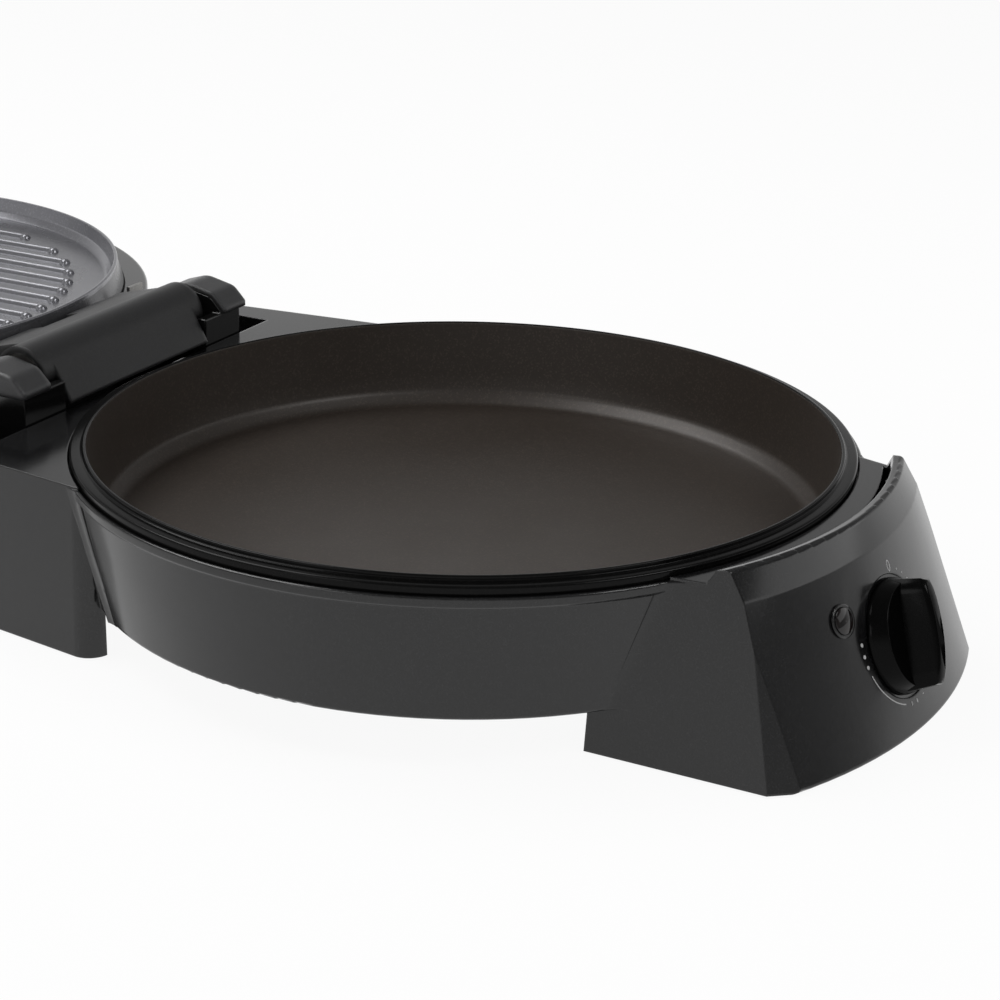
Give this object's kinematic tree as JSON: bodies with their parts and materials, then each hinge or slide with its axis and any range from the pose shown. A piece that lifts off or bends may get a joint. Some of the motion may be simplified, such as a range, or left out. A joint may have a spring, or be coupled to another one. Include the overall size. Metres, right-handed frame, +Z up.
{
  "type": "multicooker",
  "caption": "Round countertop cooker with a deep pan, a dial on a sloping front panel and a lid with a ridged grill plate that opens flat on a floating hinge",
  "frame": {"origin": "on the table below the hinge axis, which is midway between the dial's front and the handle's end with the lid open flat", "axes": "+X along the hinge to the right seen from the dial's side, +Y from the pan toward the open lid, +Z up"},
  "size_m": [0.3258, 0.7934, 0.0962],
  "materials": {
    "housing": "gloss charcoal with a fine fleck",
    "tray": "plain black moulding",
    "rubber": "matt",
    "steel": "plain",
    "nonstick": "dark non-stick coating, satin",
    "plate": "dark grey non-stick coating, satin",
    "reflector": "bright sheet",
    "element": "oxidised tube",
    "ceramic": "unglazed",
    "bakelite": "plain",
    "copper": "plain",
    "black_gloss": "gloss black",
    "matt_grey": "matt grey, fine texture",
    "lens": "smoked",
    "glass": "clear"
  },
  "bodies": {
    "base": {"base_housing": "housing", "base_cover": "tray", "base_screws": "steel", "base_feet": "rubber", "cooking_pan": "nonstick", "base_reflector": "reflector", "base_reflector_screws": "steel", "lower_element": "element", "lower_saddles": "ceramic", "lower_terminal_block": "ceramic", "thermostat_body": "bakelite", "thermostat_bracket": "steel", "thermostat_screws": "steel", "thermostat_sensor": "copper", "lamp_holder": "black_gloss", "lamp_lens": "lens", "lamp_bulb": "glass", "inlet_gland": "rubber"},
    "dial": {"control_knob": "black_gloss", "knob_shaft": "steel"},
    "carriage": {"hinge_post_right": "black_gloss", "hinge_post_left": "black_gloss", "hinge_cap_right": "matt_grey", "hinge_cap_left": "matt_grey", "hinge_pin_right": "steel", "hinge_pin_left": "steel", "hinge_bar": "steel", "hinge_bar_screws": "steel"},
    "lid": {"lid_housing": "housing", "grill_plate": "plate", "lid_reflector": "reflector", "lid_reflector_screws": "steel", "upper_element": "element", "upper_saddles": "ceramic", "upper_terminal_block": "ceramic", "lid_arm_right": "steel", "lid_arm_left": "steel", "lid_arm_screws": "steel", "hinge_cover": "matt_grey", "plate_clips": "steel", "lid_handle": "black_gloss", "lid_handle_screws": "steel"}
  },
  "joints": [
    {"name": "hinge_float", "type": "slide", "parent": "base", "child": "carriage", "axis": [0, 0, 1], "range_m": [0, 0.012]},
    {"name": "lid_turn", "type": "hinge", "parent": "carriage", "child": "lid", "pos_m": [0, 0, 0.0838], "axis": [1, 0, 0], "range_deg": [0, 180]},
    {"name": "dial_turn", "type": "hinge", "parent": "base", "child": "dial", "pos_m": [-0.01611, -0.36984, 0.0346], "axis": [0.0777, 0.9257, -0.3701], "range_deg": [0, 270]}
  ]
}
